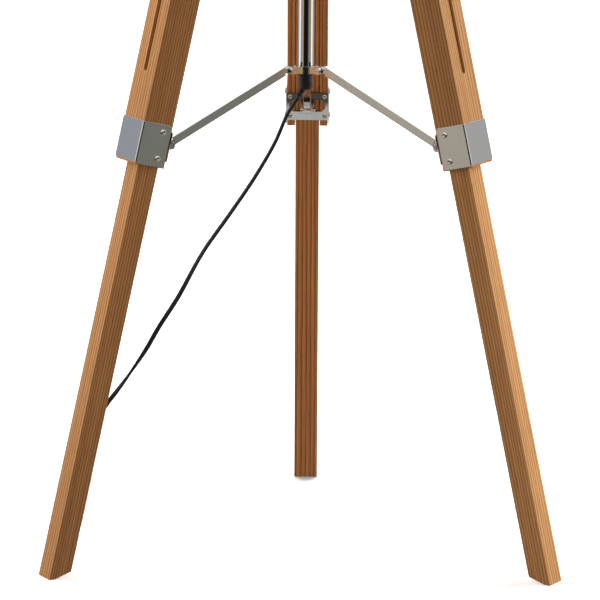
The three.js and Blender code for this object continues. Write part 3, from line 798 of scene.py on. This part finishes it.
@dataclass
class Leg:
    """One telescoping leg with its bracket, strut and lock."""

    frame: LegFrame
    seed: int
    tint: Triple
    bracket_height: float = 451.5 * MM
    flange_face: float = 22.95 * MM
    flange_screw_out: float = -2.8 * MM
    flange_screw_rise: float = 13.5 * MM
    plate_face: float = -14.5 * MM
    plate_screws: Triple = (18.3 * MM, 11.3 * MM, -11.0 * MM)
    outer_face: float = 20.0 * MM
    block_screws: tuple[float, float] = (979 * MM, 997 * MM)
    button: ButtonScrew = ButtonScrew()
    small: ButtonScrew = ButtonScrew(2.6 * MM, 1.2 * MM, 1.2 * MM, 1.0 * MM)

    def screws(self) -> bmesh.types.BMesh:
        """Builds every small screw that the leg carries."""
        mesh = bmesh.new()
        leg = self.frame.matrix()
        across, high, low = self.plate_screws
        for side in (-1, 1):
            for rise in (-self.flange_screw_rise, self.flange_screw_rise):
                spot = Vector((self.flange_screw_out, side * self.flange_face,
                               self.bracket_height + rise))
                self.button.added(mesh, leg @ facing(spot, Vector((0, side, 0))))
            for rise in (high, low):
                spot = Vector((self.plate_face, side * across, self.bracket_height + rise))
                self.small.added(mesh, leg @ facing(spot, Vector((-1, 0, 0))))
        for along in self.block_screws:
            spot = Vector((self.outer_face, 0.0, along))
            self.button.added(mesh, leg @ facing(spot, Vector((1, 0, 0))))
        return mesh

    def build(self, finishes: Finishes) -> None:
        """Builds and dresses the leg's pieces."""
        name = self.frame.name
        upper = finishes.board(self.frame, "upper", self.seed, self.tint)
        lower = finishes.board(self.frame, "lower", self.seed + 4, self.tint)
        carried(f"upper_leg_{name}", upper, 0.5 * MM)
        carried(f"lower_leg_{name}", lower, 0.7 * MM)
        carried(f"leg_bracket_{name}", finishes.sheet, 0.2 * MM)
        # The strut plate carries a painted reflection, dark above a height on its leg.
        plate = PlatedMetal(f"painted_reflection_plate_{name}", painted_reflection_leg=self.frame).material()
        carried(f"strut_plate_{name}", plate, 0.22 * MM)
        carried(f"strut_{name}", finishes.sheet, 0.22 * MM)
        carried(f"strut_axle_{name}", finishes.steel, 0.2 * MM)
        carried(f"lock_bolt_{name}", finishes.steel, 0.3 * MM)
        carried(f"lock_knob_{name}", finishes.black, 0.9 * MM, 3)
        carried(f"leg_hinge_block_{name}", finishes.casting, 0.6 * MM, 3)
        carried(f"head_pin_{name}", finishes.steel, 0.5 * MM)
        carried(f"collar_pin_{name}", finishes.steel, 0.3 * MM)
        finished(f"leg_screws_{name}", self.screws(), finishes.screws, f"leg_{name}")
        LOG.info("leg %s built", name)


class Column:
    """The column, its collar and cap, and the head that the legs hang from."""

    def build(self, finishes: Finishes) -> None:
        """Builds and dresses the column's pieces."""
        carried("column_tube", finishes.tube, 0.2 * MM)
        carried("collar", finishes.steel, 0.22 * MM)
        carried("collar_bushing", finishes.black, 0.12 * MM)
        carried("end_cap", finishes.black, 0.3 * MM)
        carried("cap_screw", finishes.black, 0.2 * MM)
        carried("head_hub", finishes.casting, 0.8 * MM, 3)
        carried("column_nut", finishes.steel, 0.8 * MM, 3)
        LOG.info("column and head built")


@dataclass
class Lamp:
    """The lamp holder, bulb and drum shade."""

    radius: float = 210 * MM
    wall: float = 1.5 * MM
    hem: float = 9 * MM
    hem_proud: float = 0.7 * MM
    steps: int = 144

    def drum(self, finishes: Finishes) -> None:
        """Builds the shade's drum, with a turned hem at each edge and cloth coordinates.

        Args:
            finishes: The lamp's finishes.
        """
        low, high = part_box("shade_drum")
        centre = (low + high) / 2
        out, inside = self.radius, self.radius - self.wall
        proud = out + self.hem_proud
        bottom, top = low.z, high.z
        drop, inset = 0.5 * MM, 0.4 * MM
        profile = [
            (inside, bottom + drop), (inside + inset, bottom), (proud - inset, bottom),
            (proud, bottom + drop), (proud, bottom + self.hem - drop), (out, bottom + self.hem),
            *((out, bottom + share * (top - bottom)) for share in (0.25, 0.5, 0.75)),
            (out, top - self.hem), (proud, top - self.hem + drop), (proud, top - drop),
            (proud - inset, top), (inside + inset, top), (inside, top - drop),
            (inside, bottom + drop),
        ]
        mesh = turned(profile, self.steps, Matrix.Translation((centre.x, centre.y, 0)))
        cloth = mesh.loops.layers.uv.new("cloth")
        for face in mesh.faces:
            middle = face.calc_center_median() - centre
            heading = math.atan2(middle.y, middle.x)
            for corner in face.loops:
                spot = corner.vert.co - centre
                turn = math.atan2(spot.y, spot.x) - heading
                turn = (turn + math.pi) % (2 * math.pi) - math.pi
                corner[cloth].uv = ((heading + turn) * out, corner.vert.co.z)
        piece = finished("shade_linen_drum", mesh, finishes.linen, "lamp")
        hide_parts("shade_drum")

    def build(self, finishes: Finishes) -> None:
        """Builds and dresses the lamp's pieces."""
        carried("lamp_holder", finishes.black, 0.5 * MM)
        carried("switch_knob", finishes.black, 0.8 * MM, 3)
        carried("bulb_cap", finishes.brass, 0.4 * MM)
        carried("bulb_globe", finishes.opal, 0.2 * MM)
        carried("shade_spider", finishes.steel, 0.3 * MM)
        carried("shade_ring_nut", finishes.black, 0.6 * MM)
        carried("shade_top_wire", finishes.steel, 0.1 * MM)
        self.drum(finishes)
        LOG.info("lamp holder, bulb and shade built")


def smoothed(points: Sequence[Vector], step: float) -> list[Vector]:
    """Runs one smooth curve through points and samples it evenly.

    Args:
        points: What the curve goes through.
        step: The distance between samples, in metres.

    Returns:
        The samples, with both ends.
    """
    ends = [2 * points[0] - points[1], *points, 2 * points[-1] - points[-2]]
    dense = []
    for before, start, stop, after in zip(ends, ends[1:], ends[2:], ends[3:]):
        knots = [0.0]
        for first, second in ((before, start), (start, stop), (stop, after)):
            knots.append(knots[-1] + max((second - first).length, 1e-6) ** 0.5)
        for index in range(12):
            at = knots[1] + (knots[2] - knots[1]) * index / 12
            level = [before, start, stop, after]
            for span in (1, 2):
                level = [
                    level[i] + (level[i + 1] - level[i])
                    * ((at - knots[i]) / (knots[i + span] - knots[i]))
                    for i in range(len(level) - 1)
                ]
            share = (at - knots[1]) / (knots[2] - knots[1])
            dense.append(level[0].lerp(level[1], share))
    dense.append(points[-1].copy())
    return resampled(dense, step)


def resampled(points: Sequence[Vector], step: float) -> list[Vector]:
    """Samples a line of points evenly.

    Args:
        points: The line.
        step: The distance between samples, in metres.

    Returns:
        The samples, with both ends.
    """
    reach = [0.0]
    for first, second in zip(points, points[1:]):
        reach.append(reach[-1] + (second - first).length)
    count = max(2, round(reach[-1] / step))
    samples, index = [], 0
    for number in range(count + 1):
        goal = reach[-1] * number / count
        while index < len(reach) - 2 and reach[index + 1] < goal:
            index += 1
        span = max(reach[index + 1] - reach[index], 1e-9)
        samples.append(points[index].lerp(points[index + 1], (goal - reach[index]) / span))
    return samples


@dataclass
class MainsLead:
    """The flat twin lead, from the cap's strain relief to a tied hank and a plug on the floor."""

    width: float = 5.0 * MM
    thickness: float = 3.1 * MM
    entry: tuple[float, float] = (-2.8 * MM, -1.0 * MM)
    aim: Triple = (-0.5, -0.15, -0.85)
    inside: float = 12 * MM
    outside: float = 8 * MM
    straight: float = 8 * MM
    fold: float = 15 * MM
    run: float = 100 * MM
    turns: int = 3
    pitch: float = 5.02 * MM
    near: float = 66 * MM
    middle: float = -249.8 * MM
    floor: float = 2.95 * MM
    step: float = 3 * MM
    blade_length: float = 17 * MM
    blade_sunk: float = 1 * MM
    blade_width: float = 6.3 * MM
    blade_thickness: float = 1.5 * MM
    blade_side: float = 6.35 * MM
    twists: tuple[tuple[float, float], ...] = (
        (0.47, 75.0), (0.4, 62.0), (0.3, 45.0), (0.215, 5.0), (0.178, -90.0), (0.145, -180.0),
    )
    route: tuple[Triple, ...] = (
        (-0.0187, -0.005, 0.454), (-0.0303, -0.006, 0.4264), (-0.0518, -0.006, 0.3883),
        (-0.0771, -0.004, 0.3497), (-0.1047, -0.002, 0.309), (-0.1304, 0.0, 0.2609),
        (-0.15, 0.002, 0.2291), (-0.1639, 0.004, 0.2041), (-0.1824, 0.006, 0.1758),
        (-0.1956, 0.008, 0.1571), (-0.2051, 0.01, 0.1443), (-0.219, 0.0125, 0.119),
        (-0.231, 0.014, 0.092), (-0.24, 0.016, 0.067), (-0.2475, 0.0195, 0.043),
        (-0.253, 0.026, 0.023), (-0.256, 0.038, 0.009), (-0.2572, 0.052, 0.004),
    )

    def __post_init__(self) -> None:
        """Works out where the lead leaves the cap."""
        low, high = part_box("end_cap")
        self.axis = Vector(((low.x + high.x) / 2, (low.y + high.y) / 2, 0.0))
        self.heading = Vector(self.aim).normalized()
        self.mouth = self.axis + Vector((*self.entry, low.z))
        self.exit = self.mouth + self.heading * self.outside

    def hank(self) -> list[Vector]:
        """Lays the hank's turns side by side, folded in an upright plane along Y."""
        bend = math.pi * self.fold
        turn_length = 2 * (self.run + bend)
        whole = self.turns * turn_length + self.run
        first = self.near + self.fold + self.thickness / 2
        start = self.middle - self.turns * self.pitch / 2
        count = round(whole / self.step)
        points = []
        for number in range(count + 1):
            gone = whole * number / count
            along = gone % turn_length
            if along < self.run:
                y, z = along, 0.0
            elif along < self.run + bend:
                turn = (along - self.run) / self.fold
                y, z = self.run + self.fold * math.sin(turn), self.fold * (1 - math.cos(turn))
            elif along < 2 * self.run + bend:
                y, z = 2 * self.run + bend - along, 2 * self.fold
            else:
                turn = (along - 2 * self.run - bend) / self.fold
                y, z = -self.fold * math.sin(turn), self.fold * (1 + math.cos(turn))
            x = start + self.pitch * min(gone / turn_length, self.turns)
            points.append(self.axis + Vector((x, first + y, self.floor + z)))
        return points

    def line(self) -> list[Vector]:
        """Gives the lead's whole centreline."""
        hank = self.hank()
        lead = [self.exit, self.exit + self.heading * self.straight]
        lead += [self.axis + Vector(point) for point in self.route]
        plug_low, plug_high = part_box("mains_plug")
        plug = Vector(((plug_low.x + plug_high.x) / 2, plug_low.y, (plug_low.z + plug_high.z) / 2))
        last = hank[-1]
        gap = plug.y - last.y
        tail = [
            last + Vector((0.0, 0.22 * gap, 0.0)),
            Vector((last.x + 0.3 * (plug.x - last.x), last.y + 0.45 * gap, last.z + 0.8 * MM)),
            Vector((last.x + 0.85 * (plug.x - last.x), last.y + 0.75 * gap, plug.z - 1.2 * MM)),
            plug,
        ]
        start = smoothed([*lead, hank[0], hank[3]], self.step)
        cut = min(range(len(start)), key=lambda index: (start[index] - hank[0]).length)
        end = smoothed([hank[-2], hank[-1], *tail], self.step)
        return resampled([*start[:cut], *hank[:-1], *end[1:]], self.step)

    def section(self, mesh: bmesh.types.BMesh) -> list[bmesh.types.BMEdge]:
        """Draws the twin lead's outline, two round cores side by side, on the XY plane.

        Args:
            mesh: The mesh that it is drawn in.

        Returns:
            The outline's edges.
        """
        core = self.thickness / 2
        offset = self.width / 2 - core
        outline = []
        for side in (1, -1):
            for step in range(-3, 4):
                turn = math.radians(26 * step) + (0 if side > 0 else math.pi)
                outline.append((side * offset + core * math.cos(turn), core * math.sin(turn)))
            outline.append((0.0, side * core * 0.72))
        verts = [mesh.verts.new((x, y, 0.0)) for x, y in outline]
        return [mesh.edges.new(pair) for pair in zip(verts, [*verts[1:], verts[0]])]

    def twist(self, height: float) -> float:
        """Gives how far the flat lead has turned about its own line.

        Args:
            height: The height above the floor, in metres.

        Returns:
            The turn, in radians.
        """
        if height >= self.twists[0][0]:
            return math.radians(self.twists[0][1])
        for (high, first), (low, second) in zip(self.twists, self.twists[1:]):
            if height >= low:
                share = (high - height) / (high - low)
                return math.radians(first + (second - first) * share)
        return math.radians(self.twists[-1][1])

    def swept(self, line: Sequence[Vector]) -> bmesh.types.BMesh:
        """Sweeps the outline along a line, with the lead's own twist.

        Args:
            line: The centreline.

        Returns:
            The lead's closed mesh.
        """
        mesh = bmesh.new()
        edges = self.section(mesh)
        bmesh.ops.edgeloop_fill(mesh, edges=edges)
        wide = (line[1] - line[0]).cross(Vector((0, 1, 0))).normalized()
        placed = Matrix.Identity(4)
        for index, point in enumerate(line):
            ahead = line[min(index + 1, len(line) - 1)] - line[max(index - 1, 0)]
            ahead.normalize()
            wide = (wide - ahead * wide.dot(ahead)).normalized()
            turn = Matrix((wide, ahead.cross(wide), ahead)).transposed().to_4x4()
            turned_by = Matrix.Rotation(self.twist(point.z), 4, "Z")
            target = Matrix.Translation(point) @ turn @ turned_by
            if index:
                grown = bmesh.ops.extrude_edge_only(mesh, edges=edges)["geom"]
                edges = [item for item in grown if isinstance(item, bmesh.types.BMEdge)]
                edges = [edge for edge in edges if len(edge.link_faces) == 1]
            verts = list({vert for edge in edges for vert in edge.verts})
            bmesh.ops.transform(mesh, matrix=target @ placed.inverted(), verts=verts)
            placed = target
        bmesh.ops.edgeloop_fill(mesh, edges=edges)
        return mesh

    def relief(self, finishes: Finishes) -> None:
        """Builds the ribbed strain relief in the cap's lower face.

        Args:
            finishes: The lamp's finishes.
        """
        length = self.inside + self.outside
        profile = [(0.0, 0.0), (3.1 * MM, 0.0), (3.1 * MM, 0.55 * length)]
        ribs = 4
        start, span = 0.58 * length, 0.36 * length
        for rib in range(ribs):
            base = start + span * rib / ribs
            wide = (3.05 - 0.08 * rib) * MM
            profile += [
                (wide - 0.35 * MM, base), (wide, base + 0.12 * span / ribs),
                (wide, base + 0.55 * span / ribs), (wide - 0.35 * MM, base + 0.7 * span / ribs),
            ]
        profile += [(2.6 * MM, length), (0.0, length)]
        where = facing(self.mouth - self.heading * self.inside, self.heading)
        piece = finished("lead_strain_relief", turned(profile, 28, where), finishes.rubber,
                         "lamp")
        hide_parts("cord_gland")

    def plug(self, finishes: Finishes) -> tuple[bpy.types.Object, bpy.types.Object]:
        """Builds the plug's moulded body and its two flat blades."""
        low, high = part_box("mains_plug")
        size = Vector((high.x - low.x, high.y - low.y - self.blade_length, high.z - low.z))
        centre = Vector(((low.x + high.x) / 2, low.y + size.y / 2, (low.z + high.z) / 2))
        body = bmesh.new()
        bmesh.ops.create_cube(
            body, size=1.0, matrix=Matrix.Translation(centre) @ Matrix.Diagonal((*size, 1.0))
        )
        rear = [face for face in body.faces if face.normal.y < -0.9]
        for inset in (2.04 * MM, 3.2 * MM):
            bmesh.ops.inset_region(body, faces=rear, thickness=inset, depth=-0.6 * MM)
        rounded(body, 1.6 * MM, 3)
        moulded = finished("plug_body", body, finishes.rubber, "lamp")
        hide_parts("mains_plug")
        pins = bmesh.new()
        length = self.blade_length + self.blade_sunk
        for side in (-1, 1):
            spot = Vector((centre.x + side * self.blade_side, high.y - length / 2, centre.z))
            scale = Matrix.Diagonal((self.blade_thickness, length, self.blade_width, 1.0))
            bmesh.ops.create_cube(pins, size=1.0, matrix=Matrix.Translation(spot) @ scale)
        rounded(pins, 0.35 * MM, 2)
        blades = finished("plug_blades", pins, finishes.brass, "lamp")
        return moulded, blades

    def build(self, finishes: Finishes) -> None:
        """Builds the lead and the pieces on it."""
        line = self.line()
        lead = finished("mains_lead", self.swept(line), finishes.rubber, "lamp")
        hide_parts("cord_lead", "cord_hank", "cord_tail")
        self.relief(finishes)
        body, blades = self.plug(finishes)
        tie = carried("hank_tie", finishes.black, 0.3 * MM)


# ---- Studio ---------------------------------------------------------------------------------------


@dataclass(frozen=True)
class Softbox:
    """A soft rectangular light that polished surfaces don't see."""

    name: str
    spot: Triple
    size: tuple[float, float]
    power: float
    colour: Triple = (1.0, 1.0, 1.0)

    def build(self, aim: Vector) -> None:
        """Makes the light.

        Args:
            aim: What it points at.
        """
        data = bpy.data.lights.new(self.name, "AREA")
        data.shape = "RECTANGLE"
        data.size, data.size_y = self.size
        data.energy = self.power
        data.color = self.colour
        light = bpy.data.objects.new(self.name, data)
        light.visible_glossy = False
        spot = Vector(self.spot)
        turn = (aim - spot).to_track_quat("-Z", "Y").to_matrix().to_4x4()
        light.matrix_world = Matrix.Translation(spot) @ turn
        bpy.context.scene.collection.objects.link(light)


@dataclass(frozen=True)
class Studio:
    """A plain pale floor, soft light from both sides and the camera."""

    middle: Triple = (0.0, 0.0, 0.6)
    lights: tuple[Softbox, ...] = (
        Softbox("left_softbox", (-2.6, 1.2, 1.1), (1.6, 2.4), 175.0),
        Softbox("right_softbox", (2.6, 1.2, 1.1), (1.6, 2.4), 190.0),
        Softbox("front_softbox", (0.0, -4.2, 1.9), (2.4, 1.6), 38.0, (1.0, 0.78, 0.66)),
        Softbox("top_softbox", (0.0, 0.4, 3.4), (2.6, 2.6), 30.0),
    )
    camera_at: Triple = (0.0566, -4.5633, 1.1848)
    yaw: float = -0.76
    pitch: float = -11.46
    roll: float = 0.45
    lens: float = 270.0

    def camera(self) -> None:
        """Makes the camera and sets it as the scene's."""
        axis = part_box("end_cap")
        shift = Vector((0.0, (axis[0].y + axis[1].y) / 2, 0.0))
        yaw, pitch, roll = (math.radians(angle) for angle in (self.yaw, self.pitch, self.roll))
        ahead = Vector((math.sin(yaw) * math.cos(pitch), math.cos(yaw) * math.cos(pitch),
                        math.sin(pitch)))
        level = Vector((math.cos(yaw), -math.sin(yaw), 0.0))
        above = level.cross(ahead)
        right = math.cos(roll) * level + math.sin(roll) * above
        up = -math.sin(roll) * level + math.cos(roll) * above
        data = bpy.data.cameras.new("studio_camera")
        data.lens = self.lens
        data.sensor_width = 36.0
        data.clip_end = 100.0
        camera = bpy.data.objects.new("studio_camera", data)
        turn = Matrix((right, up, -ahead)).transposed().to_4x4()
        camera.matrix_world = Matrix.Translation(Vector(self.camera_at) + shift) @ turn
        bpy.context.scene.collection.objects.link(camera)
        bpy.context.scene.camera = camera

    def world(self) -> None:
        """Lights the surroundings: even for matt surfaces, banded for what polished ones reflect."""
        world = bpy.data.worlds.new("studio")
        world.use_nodes = True
        bpy.context.scene.world = world
        tree = world.node_tree
        heading = place(tree, "ShaderNodeTexCoord").outputs["Generated"]
        bands = ROOM.placed(tree, {"Vector": heading}).outputs["Color"]
        rise = place(tree, "ShaderNodeSeparateXYZ", {0: heading}).outputs[2]
        above = ramp(tree, rise, [(0.2, 0.0), (0.5, 1.0)])
        polished = blended(tree, above, bands, (1.35, 1.35, 1.35, 1.0))
        path = place(tree, "ShaderNodeLightPath")
        seen = blended(tree, path.outputs["Is Glossy Ray"], (0.09, 0.07, 0.06, 1.0), polished)
        seen = blended(tree, path.outputs["Is Camera Ray"], seen, (1.0, 1.0, 1.0, 1.0))
        tree.links.new(seen, tree.nodes["Background"].inputs["Color"])

    def floor(self) -> None:
        """Lays a plain pale floor."""
        mesh = bmesh.new()
        bmesh.ops.create_grid(mesh, x_segments=1, y_segments=1, size=30.0)
        data = bpy.data.meshes.new("studio_floor")
        mesh.to_mesh(data)
        mesh.free()
        material = bpy.data.materials.new("pale_floor")
        material.use_nodes = True
        tree = material.node_tree
        shader = tree.nodes["Principled BSDF"]
        shader.inputs["Roughness"].default_value = 0.9
        shader.inputs["Specular IOR Level"].default_value = 0.1
        spot = place(tree, "ShaderNodeTexCoord").outputs["Object"]
        away = place(tree, "ShaderNodeVectorMath", {0: spot}, operation="LENGTH").outputs["Value"]
        path = place(tree, "ShaderNodeLightPath")
        tone = maths(tree, "MULTIPLY_ADD", path.outputs["Is Camera Ray"], 0.5, 0.43)
        tree.links.new(tone, shader.inputs["Base Color"])
        lifted = maths(tree, "MULTIPLY", ramp(tree, maths(tree, "MULTIPLY", away, 0.1),
                                              [(0.04, 0.3), (0.4, 1.0)]),
                       path.outputs["Is Camera Ray"])
        tree.links.new(lifted, shader.inputs["Emission Strength"])
        shader.inputs["Emission Color"].default_value = (1.0, 1.0, 1.0, 1.0)
        near = ramp(tree, away, [(0.5, 1.0), (0.9, 0.0)])
        around = blended(tree, near, ROOM.placed(tree, {"Vector": spot}).outputs["Color"],
                         (0.46, 0.46, 0.45, 1.0))
        room = place(tree, "ShaderNodeEmission", {"Color": around})
        mix = place(tree, "ShaderNodeMixShader",
                    {0: path.outputs["Is Glossy Ray"], 1: shader.outputs[0], 2: room.outputs[0]})
        tree.links.new(mix.outputs[0], tree.nodes["Material Output"].inputs["Surface"])
        data.materials.append(material)
        floor = bpy.data.objects.new("studio_floor", data)
        bpy.context.scene.collection.objects.link(floor)

    def build(self) -> None:
        """Builds the studio."""
        self.camera()
        self.world()
        self.floor()
        for light in self.lights:
            light.build(Vector(self.middle))
        bpy.context.scene.view_settings.view_transform = "Standard"
        LOG.info("studio built")


def main() -> None:
    """Builds the studio and every piece."""
    logging.basicConfig(level=logging.INFO, format="%(name)s: %(message)s")
    Studio().build()
    finishes = Finishes()
    MainsLead().build(finishes)
    for seed, (name, tint) in enumerate(LEG_TONES.items(), start=1):
        Leg(LegFrame(name), seed, tint).build(finishes)
    Column().build(finishes)
    Lamp().build(finishes)


if __name__ == "__main__":
    main()
